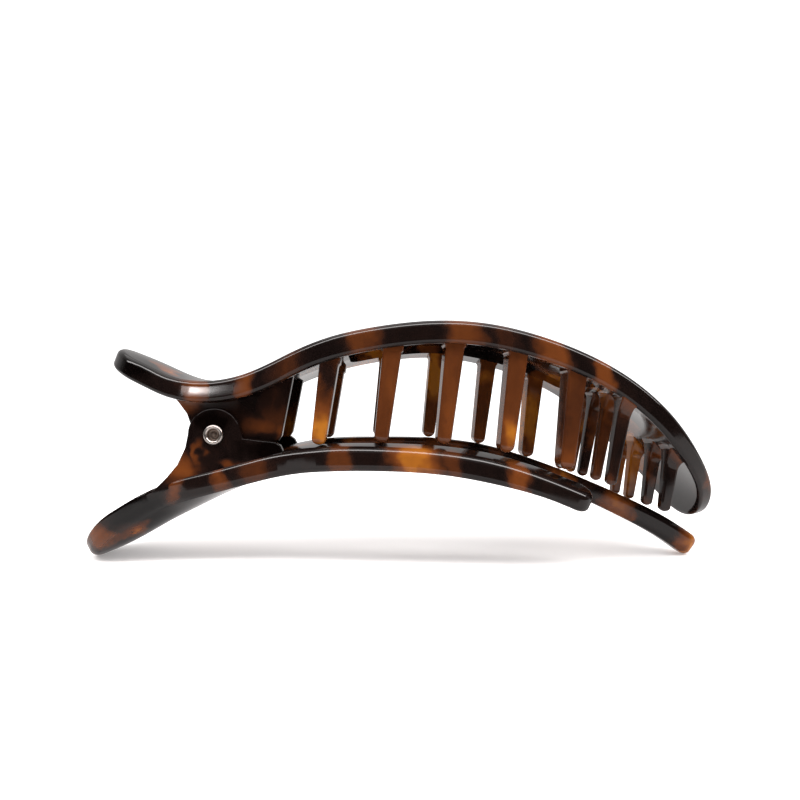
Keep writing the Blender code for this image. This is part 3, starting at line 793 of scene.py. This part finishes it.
def cheeks(name, outline, inner_y, outer_y, finish):
    """A pair of upright cheeks, one on each side of the middle."""
    pair = flat_plate(outline, inner_y, outer_y, CHEEK_EDGE, CHEEK_EDGE_SEGMENTS)
    for vertex in pair.verts:
        x, z, y = vertex.co
        vertex.co = (x, y, z)
    copies = bmesh.ops.duplicate(pair, geom=pair.verts[:] + pair.edges[:] + pair.faces[:])["geom"]
    for vertex in (item for item in copies if isinstance(item, bmesh.types.BMVert)):
        vertex.co.y = -vertex.co.y
    standing = [face for face in pair.faces if face.calc_center_median().y > 0]
    bmesh.ops.reverse_faces(pair, faces=standing)
    made = finish_mesh(name, pair)
    made.data.materials.append(finish)
    return made


def bore():
    """A pin on the hinge axis that cuts the rivet's bores."""
    pin = bmesh.new()
    bmesh.ops.create_cone(pin, cap_ends=True, segments=BORE_SIDES, radius1=BORE_RADIUS,
                          radius2=BORE_RADIUS, depth=4 * EAR_OUTER_Y)
    for vertex in pin.verts:
        x, y, z = vertex.co
        vertex.co = (PIVOT[0] + x, z, PIVOT[1] - y)
    return finish_mesh("bore", pin)


def combine(item, others, operation):
    """Join other solids to an object, or cut them from it, and remove them."""
    for other in others:
        modifier = item.modifiers.new(operation.lower(), "BOOLEAN")
        modifier.operation = operation
        modifier.solver = "EXACT"
        modifier.material_mode = "TRANSFER"
        modifier.object = other
        keep_result(item)
        bpy.data.objects.remove(other)
    return item


def smooth_but_sharp(item, degrees):
    """Smooth shading that stops at edges sharper than the angle, and leaves large flat faces flat."""
    item.data.shade_smooth()
    item.data.set_sharp_from_angle(angle=radians(degrees))
    weights = item.modifiers.new("weights", "WEIGHTED_NORMAL")
    weights.keep_sharp = True
    keep_result(item)


print("cheeks ready")

# %% [markdown]
# The underside of the upper jaw isn't flat: a rail runs along each side, as far as the first row of
# teeth across it. It is what is left when a shallow pocket with round corners is cut from the blank.

# %% Pocket between the rails
POCKET_DEPTH = 1.6
POCKET_HALF_WIDTH = 10.0
POCKET_CORNER, POCKET_CORNER_POINTS = 3.0, 8
RIB_HALF = 1.8


def pocket():
    """A flat cutter with round corners, from the hinge to the row of teeth."""
    inner = POCKET_HALF_WIDTH - POCKET_CORNER
    near = upper_profile.along(WIDEN_TO_X) + POCKET_CORNER
    far = upper_profile.along(ROW_TEETH[0]) - RIB_HALF - POCKET_CORNER
    outline = []
    for x, y, start in ((near, -inner, 180), (far, -inner, 270), (far, inner, 0), (near, inner, 90)):
        outline += arc((x, y), POCKET_CORNER, start, start + 90, POCKET_CORNER_POINTS)
    return finish_mesh("pocket", flat_plate(outline, -BLANK_DEPTH - 1, POCKET_DEPTH - BLANK_DEPTH))


print("the pocket is", POCKET_DEPTH, "mm deep")

# %% [markdown]
# The patches of the photographed side are listed as places in millimetres on the clip. Those
# of a rim are given by their x alone, because the rim's own line gives the height. Patches add amber,
# darks take it away.

# %% Patches of amber
RIM_Y = -16.0
RIM_MIDDLE_DEPTH = 2.0
RIM_PATCH_DEPTH, RIM_PATCH_HEIGHT = 6.0, 7.0


def rim_patches(profile, rows):
    """Patches through the near rim, at the height of the rim's middle."""
    return [(x, RIM_Y, profile.edge_at(x)[0] - RIM_MIDDLE_DEPTH, half, RIM_PATCH_DEPTH, RIM_PATCH_HEIGHT,
             strength) for x, half, strength in rows]


UPPER_RIM_PATCHES = (
    # x, half length, strength
    (-38.2, 2.6, 0.70), (-28.9, 2.1, 0.62), (-20.5, 3.6, 0.30), (-6.6, 2.9, 0.40), (12.1, 3.8, 0.46),
    (19.5, 2.4, 0.20), (28.0, 3.3, 0.58), (37.4, 2.0, 0.58), (58.6, 1.6, 0.46),
)
LOWER_RIM_PATCHES = (
    # x, half length, strength
    (-42.4, 1.9, 0.62), (-33.0, 1.7, 0.62), (-26.5, 3.6, 0.38), (-10.1, 2.6, 0.36), (3.0, 4.4, 0.86),
    (9.6, 2.4, 0.32), (22.1, 1.9, 0.62),
)

# The other tables: x, y, z, half length, half depth, half height, strength
UPPER_DARKS = (
    (-52.0, 2.0, 41.0, 10.0, 12.0, 6.0, 0.7),
)
HINGE_PLATE_PATCHES = (
    (-26.0, -8.5, 27.0, 3.6, 3.0, 1.8, 0.26),
    (-21.5, -8.5, 25.0, 2.2, 3.0, 2.6, 0.32),
    (-40.5, -8.5, 31.6, 3.2, 4.0, 2.4, 0.46),
    (-21.5, 7.6, 26.0, 3.5, 2.5, 4.5, 0.80),
)
HINGE_PLATE_DARKS = (
    (-27.5, -9.0, 32.2, 7.0, 4.0, 3.4, 0.10),
    (-24.5, -9.0, 24.6, 3.4, 3.0, 0.9, 0.16),
)
EAR_PATCHES = (
    (-40.6, -10.4, 18.6, 3.4, 3.0, 3.0, 0.62),
    (-37.4, -10.4, 22.4, 0.8, 2.0, 3.0, 0.46),
    (-31.2, -10.4, 19.8, 2.4, 2.0, 0.9, 0.44),
)
EAR_DARKS = (
    (-34.4, -11.4, 27.6, 3.4, 2.0, 2.6, 0.10),
    (-25.0, -11.4, 22.6, 4.0, 2.0, 2.0, 0.10),
)
TOOTH_PATCHES = (
    (-14.2, -12.6, 26.0, 2.4, 3.4, 4.2, 0.54),
    (-0.2, -12.6, 34.2, 1.2, 3.4, 5.0, 0.18),
    (10.0, -12.6, 30.2, 1.8, 3.0, 5.6, 0.20),
    (20.9, -12.6, 25.2, 1.8, 3.4, 4.0, 0.52),
    (31.4, -12.6, 20.6, 1.6, 3.4, 2.0, 0.22),
    (10.0, 12.6, 32.0, 30.0, 4.0, 14.0, 0.16),
    (-13.4, 12.6, 30.0, 2.4, 4.0, 5.0, 0.30),
    (9.8, 12.6, 38.0, 2.6, 4.0, 6.4, 1.00),
    (32.0, 12.6, 27.6, 2.4, 4.0, 7.0, 0.70),
    (21.0, 12.6, 24.6, 2.0, 3.4, 3.0, 0.30),
    (39.6, 13.4, 18.6, 2.0, 3.0, 3.0, 0.34),
    (51.4, 3.8, 15.6, 2.2, 2.2, 4.6, 0.24),
)
TOOTH_DARKS = (
    (-12.8, -12.6, 36.4, 3.0, 3.0, 4.6, 0.40),
    (40.6, 0.0, 23.0, 3.4, 1.8, 10.0, 0.44),
    (40.6, -6.7, 23.0, 3.4, 1.8, 10.0, 0.14),
    (40.6, -13.4, 23.0, 3.4, 2.6, 10.0, 0.36),
    (51.6, -3.8, 15.6, 3.4, 1.8, 8.0, 0.50),
    (51.6, -10.4, 15.6, 3.4, 2.6, 8.0, 0.44),
    (32.0, -12.6, 30.0, 3.4, 4.0, 7.0, 0.18),
    (-2.0, 12.6, 30.0, 3.0, 3.0, 8.0, 0.30),
)
LOWER_PATCHES = (
    (45.7, 0.0, 10.2, 3.9, 3.4, 4.5, 0.86),
    (60.0, 0.0, 2.4, 3.0, 3.6, 3.9, 1.00),
    (-57.0, -9.0, 5.0, 3.4, 5.0, 3.2, 0.52),
    (-60.6, -2.0, 3.0, 2.4, 5.0, 2.4, 0.56),
    (-44.6, 6.0, 15.0, 3.2, 5.0, 2.6, 0.60),
)
LOWER_DARKS = (
    (-48.0, -3.0, 10.0, 5.0, 8.0, 4.0, 0.6),
)

upper_finish = make_shell("shell_upper", rim_patches(upper_profile, UPPER_RIM_PATCHES), UPPER_DARKS,
                          clouds=0.9, ground=0.08, streaks=0.15)
lower_finish = make_shell("shell_lower", (*rim_patches(lower_profile, LOWER_RIM_PATCHES), *LOWER_PATCHES),
                          LOWER_DARKS, clouds=0.9, ground=0.08, streaks=0.15)
plate_finish = make_shell("shell_hinge_plates", HINGE_PLATE_PATCHES, HINGE_PLATE_DARKS,
                          clouds=0.3, ground=0.16, streaks=0.2, shine=MATT)
ear_finish = make_shell("shell_ears", EAR_PATCHES, EAR_DARKS,
                        clouds=0.3, ground=0.08, streaks=0.2, shine=MATT)
# The teeth's higher ground of amber is painted glow of light through thin plastic.
teeth_finish_painted_glow = make_shell("shell_teeth_painted_glow", TOOTH_PATCHES, TOOTH_DARKS, clouds=0.4, ground=0.50, streaks=0.3)
print("finishes:", [finish.name for finish in bpy.data.materials if finish.name.startswith("shell")])

# %% [markdown]
# Now the upper jaw comes together: blank, pocket, bend, then the teeth and the hinge plates fused to
# it and the bore cut through. It is one moulding, so it is one closed mesh. The teeth are thinner than
# the plate and let more light through, so their finish carries more amber, as painted glow of that light.

# %% Upper jaw
def row_places(row):
    """Root and tip of each tooth of a row across the jaw. Off the middle the crown is lower."""
    root_x, root_z, tip_x, tip_z, places = row
    rise_x, rise_z = root_x - tip_x, root_z - tip_z
    out_x, out_z = upper_profile.out_at(root_x)
    lost = upper_profile.edge_at(root_x)[1] / (rise_x * out_x + rise_z * out_z)
    shares = [(1 - lost * (y / HALF_WIDTH) ** 2, y) for y in places]
    return [(tip_x + rise_x * share, tip_z + rise_z * share, tip_x, tip_z, y) for share, y in shares]


def make_upper_jaw():
    """The upper jaw in one closed mesh."""
    plate = flat_plate(upper_outline(), -BLANK_DEPTH, 0.0, UPPER_EDGE_RADIUS, EDGE_SEGMENTS)
    blank = combine(finish_mesh("blank", plate), [pocket()], "DIFFERENCE")
    plate = bmesh.new()
    plate.from_mesh(blank.data)
    bmesh.ops.scale(plate, verts=plate.verts, vec=(1 / MM, 1 / MM, 1 / MM))
    bpy.data.objects.remove(blank)
    jaw = bent_plate("tortoiseshell_upper_jaw", plate, upper_profile, upper_finish)
    sides = [(*tooth, side * y) for *tooth, y in SIDE_TEETH for side in (-1, 1)]
    parts = [tooth_row("side_teeth", side_tooth, sides, teeth_finish_painted_glow)]
    parts.append(tooth_row("row_teeth", row_tooth, row_places(ROW_TEETH), teeth_finish_painted_glow))
    parts.append(tooth_row("end_teeth", end_tooth, row_places(END_TEETH), teeth_finish_painted_glow))
    parts.append(cheeks("hinge_plates", plate_outline(), PLATE_INNER_Y, PLATE_OUTER_Y, plate_finish))
    combine(jaw, parts, "UNION")
    combine(jaw, [bore()], "DIFFERENCE")
    smooth_but_sharp(jaw, JAW_SHARP)
    return jaw


upper_jaw = make_upper_jaw()
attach(upper_jaw, "upper")
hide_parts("upper_jaw")
print(upper_jaw.name, "has", len(upper_jaw.data.polygons), "faces")

# %% [markdown]
# The lower jaw is made in the same way: a blank with three prongs, bent to its own line, with the two
# ears fused on and bored. Its lever has a crown below nought, which makes it a shallow spoon.

# %% Lower jaw
def make_lower_jaw():
    """The lower jaw in one closed mesh."""
    plate = flat_plate(lower_outline(), -BLANK_DEPTH, 0.0, LOWER_EDGE_RADIUS, EDGE_SEGMENTS)
    jaw = bent_plate("tortoiseshell_lower_jaw", plate, lower_profile, lower_finish)
    combine(jaw, [cheeks("ears", ear_outline(), EAR_INNER_Y, EAR_OUTER_Y, ear_finish)], "UNION")
    combine(jaw, [bore()], "DIFFERENCE")
    smooth_but_sharp(jaw, JAW_SHARP)
    return jaw


lower_jaw = make_lower_jaw()
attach(lower_jaw, "lower")
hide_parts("lower_jaw")
print(lower_jaw.name, "has", len(lower_jaw.data.polygons), "faces")

# %% [markdown]
# The rivet and the spring are of metal. Noise that is drawn out along the way the metal was worked
# gives fine marks in its tone, gloss and height, so that it doesn't look like a mirror.

# %% Metal finish
METAL_SHADES = (0.72, 1.12)
MARK_STRENGTH, MARK_HEIGHT = 0.25, 0.03 * MM
TURNED, DRAWN = (900, 250, 900), (1200, 1200, 1200)


def make_metal(name, colour, rough_from, rough_to, grain):
    """Plated metal with fine turning marks in its roughness and height."""
    material, tree, shader, place = new_material(name)
    marks = noise(tree, calc_vector(tree, "MULTIPLY", place, grain), 1.0, 3.0)
    tint = add(tree, "ShaderNodeMix", {
        6: (0, 0, 0, 1), 7: (*colour, 1), 0: remap(tree, marks, 0.0, 1.0, *METAL_SHADES)},
        data_type="RGBA", clamp_factor=False).outputs[2]
    bump = add(tree, "ShaderNodeBump",
               {"Height": marks, "Strength": MARK_STRENGTH, "Distance": MARK_HEIGHT}).outputs[0]
    fill(shader, {"Base Color": tint, "Roughness": remap(tree, marks, 0.0, 1.0, rough_from, rough_to),
                  "Normal": bump, "Metallic": 1.0})
    return material


nickel = make_metal("rivet_nickel", (0.60, 0.545, 0.505), 0.20, 0.38, TURNED)
# The recess's darker colour is painted shade; its higher roughness is the metal's own.
dull_nickel_painted_shade = make_metal("recess_nickel_painted_shade", (0.32, 0.25, 0.21), 0.42, 0.60, TURNED)
steel = make_metal("spring_steel", (0.52, 0.51, 0.50), 0.22, 0.42, DRAWN)
print("metals:", nickel.name, dull_nickel_painted_shade.name, steel.name)

# %% [markdown]
# The rivet is a nickel-plated tube whose ends are rolled over the ears. It is turned like a pot: half
# of its wall is drawn as a line of radius and height, mirrored, and spun round the hinge axis. The
# recess inside the lip is rougher, and darker in colour as painted shade.

# %% Rivet
RIVET_SIDES = 64
LIP_FROM_Y = EAR_OUTER_Y + 0.3
LIP_RADIUS = 1.9
LIP_INNER_RADIUS = 1.12
LIP_HEIGHT = 0.5
SHANK_RADIUS = 1.3
ROLL_STEP = 12
RECESS_DEPTH = 1.1
RECESS_WALL = (
    # radius, height above the floor of the recess
    (1.06, 0.5), (1.0, 0.1), (0.87, 0.0), (0.53, 0.0), (0.45, 0.06), (0.35, 0.3), (0.0, 0.34),
)


def rivet_wall():
    """Half of the rivet's wall from its middle plane to the floor of its recess: radius, height."""
    middle, half = (LIP_RADIUS + LIP_INNER_RADIUS) / 2, (LIP_RADIUS - LIP_INNER_RADIUS) / 2
    angles = [radians(degrees) for degrees in range(0, 181, ROLL_STEP)]
    roll = [(middle + half * cos(a), LIP_FROM_Y + LIP_HEIGHT * sin(a)) for a in angles]
    floor = LIP_FROM_Y + LIP_HEIGHT - RECESS_DEPTH
    return [(SHANK_RADIUS, LIP_FROM_Y), *roll] + [(radius, floor + height) for radius, height in RECESS_WALL]


def turn_rivet():
    """Spin the wall, mirrored to both ends, round the hinge axis."""
    half = rivet_wall()
    wall = [(radius, -height) for radius, height in reversed(half)] + half
    rivet = bmesh.new()
    verts = [rivet.verts.new((PIVOT[0] + radius, height, PIVOT[1])) for radius, height in wall]
    line = [rivet.edges.new(pair) for pair in zip(verts, verts[1:])]
    bmesh.ops.spin(rivet, geom=verts + line, cent=(PIVOT[0], 0, PIVOT[1]), axis=AXIS_Y, angle=2 * pi,
                   steps=RIVET_SIDES, use_merge=True)
    bmesh.ops.remove_doubles(rivet, verts=rivet.verts, dist=SAME_POINT)
    bmesh.ops.recalc_face_normals(rivet, faces=rivet.faces)
    return rivet


rivet = finish_mesh("rolled_rivet", turn_rivet())
rivet.data.materials.append(nickel)
rivet.data.materials.append(dull_nickel_painted_shade)
# Faces inside the lip take the recess finish with its painted shade.
for face in rivet.data.polygons:
    out = hypot(face.center.x / MM - PIVOT[0], face.center.z / MM - PIVOT[1])
    face.material_index = int(out < LIP_INNER_RADIUS)
smooth_but_sharp(rivet, METAL_SHARP)
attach(rivet, "lower")
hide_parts("hinge_rivet")
print(rivet.name, "has", len(rivet.data.polygons), "faces")

# %% [markdown]
# The spring is one length of wire: a leg, nine turns round the rivet, and another leg. Its path is a
# line of points, and Geometry Nodes sweep a round wire along it, with closed ends.

# %% Torsion spring
SPRING_COIL_RADIUS = 2.15
SPRING_WIRE_RADIUS = 0.45
SPRING_TURNS = 9
SPRING_PITCH = 1.2
SPRING_POINTS_A_TURN = 36
SPRING_LEG = 3.2
WIRE_SIDES = 12


def spring_path():
    """Points of the wire's middle line."""
    points = []
    for i in range(SPRING_TURNS * SPRING_POINTS_A_TURN + 1):
        turns = i / SPRING_POINTS_A_TURN
        angle = 2 * pi * turns + pi / 2
        points.append(Vector((PIVOT[0] + SPRING_COIL_RADIUS * cos(angle),
                              SPRING_PITCH * (turns - SPRING_TURNS / 2),
                              PIVOT[1] + SPRING_COIL_RADIUS * sin(angle))))
    return [points[0] + AXIS_X * SPRING_LEG, *points, points[-1] - AXIS_X * SPRING_LEG]


def make_wire_tree():
    """Geometry Nodes: sweep a round wire along a line of edges."""
    tree, given = new_tree("wire_along_path", {"Wire Radius": "Float", "Finish": "Material"})
    path = add(tree, "GeometryNodeMeshToCurve", {"Mesh": given["Geometry"]}).outputs[0]
    ring = add(tree, "GeometryNodeCurvePrimitiveCircle",
               {"Resolution": WIRE_SIDES, "Radius": given["Wire Radius"]}).outputs[0]
    wire = add(tree, "GeometryNodeCurveToMesh",
               {"Curve": path, "Profile Curve": ring, "Fill Caps": True}).outputs[0]
    smooth = add(tree, "GeometryNodeSetShadeSmooth", {"Geometry": wire}).outputs[0]
    close_tree(tree, smooth, given["Finish"])
    return tree


def make_spring():
    """The wound spring on its path."""
    points = spring_path()
    mesh = bpy.data.meshes.new("wound_spring")
    mesh.from_pydata([point * MM for point in points], [(i, i + 1) for i in range(len(points) - 1)], [])
    item = new_object("wound_spring", mesh)
    run_tree(item, make_wire_tree(), Finish=steel, **{"Wire Radius": SPRING_WIRE_RADIUS * MM})
    smooth_but_sharp(item, METAL_SHARP)
    return item


spring = make_spring()
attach(spring, "lower")
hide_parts("torsion_spring")
print(spring.name, "has", len(spring.data.polygons), "faces")

# %% [markdown]
# The helpers have done their work: the drawn tooth meshes and the profile lines are removed, so that
# only the four pieces are left.

# %% Remove the drawing aids
for aid in (side_tooth, row_tooth, end_tooth, upper_profile.line, lower_profile.line):
    bpy.data.objects.remove(aid)

# %% [markdown]
# The clip stands on a pale floor in a white studio. The floor is a plain sheet of matt paper with a
# faint grain. It glows a little, so that it comes out white where the clip throws no shadow.

# %% Floor
WARM_WHITE = (1.0, 0.965, 0.955)
PAPER_SHADES = (0.82, 0.86)
PAPER_GRAIN = 900.0
PAPER_ROUGHNESS, PAPER_SHINE = 0.9, 0.1
FLOOR_GLOW = 0.25
FLOOR_MIRRORED_LOSS = 0.5
FLOOR_GAP = 0.01 * MM
FLOOR_BACK, FLOOR_FRONT, FLOOR_SIDE = 0.28, -0.09, 0.9


def make_floor_finish():
    """Pale, matt paper, which the glossy plastic mirrors less brightly than it is."""
    material, tree, shader, place = new_material("floor_paper")
    shade = remap(tree, noise(tree, place, PAPER_GRAIN, 2.0), 0.0, 1.0, *PAPER_SHADES)
    mirrored = add(tree, "ShaderNodeLightPath").outputs["Is Glossy Ray"]
    shade = calc(tree, "SUBTRACT", shade, calc(tree, "MULTIPLY", mirrored, FLOOR_MIRRORED_LOSS))
    grey = add(tree, "ShaderNodeCombineColor", dict.fromkeys(range(3), shade)).outputs[0]
    fill(shader, {"Base Color": grey, "Emission Color": (*WARM_WHITE, 1.0), "Emission Strength": FLOOR_GLOW,
                  "Roughness": PAPER_ROUGHNESS, "Specular IOR Level": PAPER_SHINE})
    return material


def make_floor():
    """A sheet under the clip, just below its lowest point."""
    level = min(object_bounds()[0].z, cad_box[0].z) - FLOOR_GAP
    mesh = bpy.data.meshes.new("floor")
    corners = [(x, y, level) for y in (FLOOR_FRONT, FLOOR_BACK) for x in (-FLOOR_SIDE, FLOOR_SIDE)]
    mesh.from_pydata(corners, [], [(0, 1, 3, 2)])
    mesh.materials.append(make_floor_finish())
    return new_object("floor", mesh)


floor = make_floor()
print("floor at", round(floor.data.vertices[0].co.z / MM, 3), "mm")

# %% [markdown]
# Glossy dark plastic shows what it mirrors more than its own colour. The photograph's rims are dark
# with thin white lines along their roundings, and surfaces that face up or back are pale grey. So the
# studio is white overhead and behind, and dark round the camera, with a long soft box above. A small
# card beside the camera lights only the rail over the hinge, which has a white glint in the picture.

# %% Studio light
MIRRORED_STUDIO = 0.55
DIFFUSE_STUDIO = 1.6
FRONT_FILL = 0.7
# direction from, to, brightness from, to
BEHIND = (-0.35, 0.35, 0.04, 1.0)
ABOVE = (0.35, 0.85, 0.0, 0.9)
LAMPS = (
    # name, place, aim, size, watts, spread in degrees
    ("long_box", (0.12, -0.20, 0.42), (0.12, 0.0, 0.02), (1.40, 0.11), 6.0, 180),
    ("top_box", (0.0, 0.15, 0.60), (0.0, 0.0, 0.0), (0.70, 0.50), 1.0, 180),
    ("left_card", (-0.0785, -0.140, 0.0397), (-0.039, -0.016, 0.0357), (0.019, 0.008), 0.000018, 3.2),
)


def make_world():
    """Bright overhead and behind the clip, dark on the camera's side."""
    world = bpy.data.worlds.new("studio")
    world.use_nodes = True
    tree = world.node_tree
    shader = tree.nodes["Background"]
    toward = split(tree, add(tree, "ShaderNodeTexCoord").outputs["Generated"])
    behind = remap(tree, toward["Y"], *BEHIND, "SMOOTHSTEP")
    above = remap(tree, toward["Z"], *ABOVE, "SMOOTHSTEP")
    studio = calc(tree, "MAXIMUM", behind, above)
    path = add(tree, "ShaderNodeLightPath").outputs
    tone = add(tree, "ShaderNodeMix", {0: path["Is Camera Ray"], 6: (*WARM_WHITE, 1), 7: (1, 1, 1, 1)},
               data_type="RGBA").outputs[2]
    mirrored = calc(tree, "MULTIPLY", studio, MIRRORED_STUDIO)
    soft = calc(tree, "MAXIMUM", calc(tree, "MULTIPLY", studio, DIFFUSE_STUDIO), FRONT_FILL)
    light = add(tree, "ShaderNodeMix", {"Factor": path["Is Glossy Ray"], "A": soft, "B": mirrored},
                data_type="FLOAT").outputs[0]
    fill(shader, {"Color": tone, "Strength": calc(tree, "MAXIMUM", light, path["Is Camera Ray"])})
    return world


def soft_box(name, place, aim, size, power, spread):
    """A rectangular lamp turned towards a point. A grid keeps its light within the spread."""
    lamp = bpy.data.lights.new(name, "AREA")
    lamp.shape = "RECTANGLE"
    lamp.size, lamp.size_y = size
    lamp.energy = power
    lamp.color = WARM_WHITE
    lamp.spread = radians(spread)
    item = new_object(name, lamp)
    item.location = place
    item.rotation_euler = (Vector(aim) - Vector(place)).to_track_quat("-Z", "Y").to_euler()
    return item


bpy.context.scene.world = make_world()
for row in LAMPS:
    soft_box(*row)
bpy.context.scene.view_settings.view_transform = "Standard"
